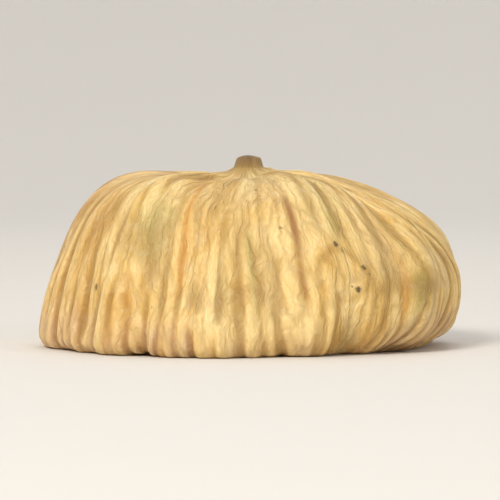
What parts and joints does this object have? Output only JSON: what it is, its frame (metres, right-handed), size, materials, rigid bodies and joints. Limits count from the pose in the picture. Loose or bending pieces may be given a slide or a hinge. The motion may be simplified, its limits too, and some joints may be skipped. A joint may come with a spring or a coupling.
{
  "type": "dried fig",
  "caption": "Whole dried fig pressed along its axis into a low bun, with pleated skin, a short stem stub on top and a sunken eye underneath.",
  "frame": {"origin": "on the resting plane, under the middle of the fruit's outline", "axes": "+Z along the fruit's axis from the eye to the stem stub; +X across the widest width towards the rounder end; -Y is the side that the picture shows"},
  "size_m": [0.0466, 0.0434, 0.021],
  "materials": {
    "fig_skin": "satin"
  },
  "bodies": {
    "root": {"dried_fig": "fig_skin"}
  },
  "joints": []
}
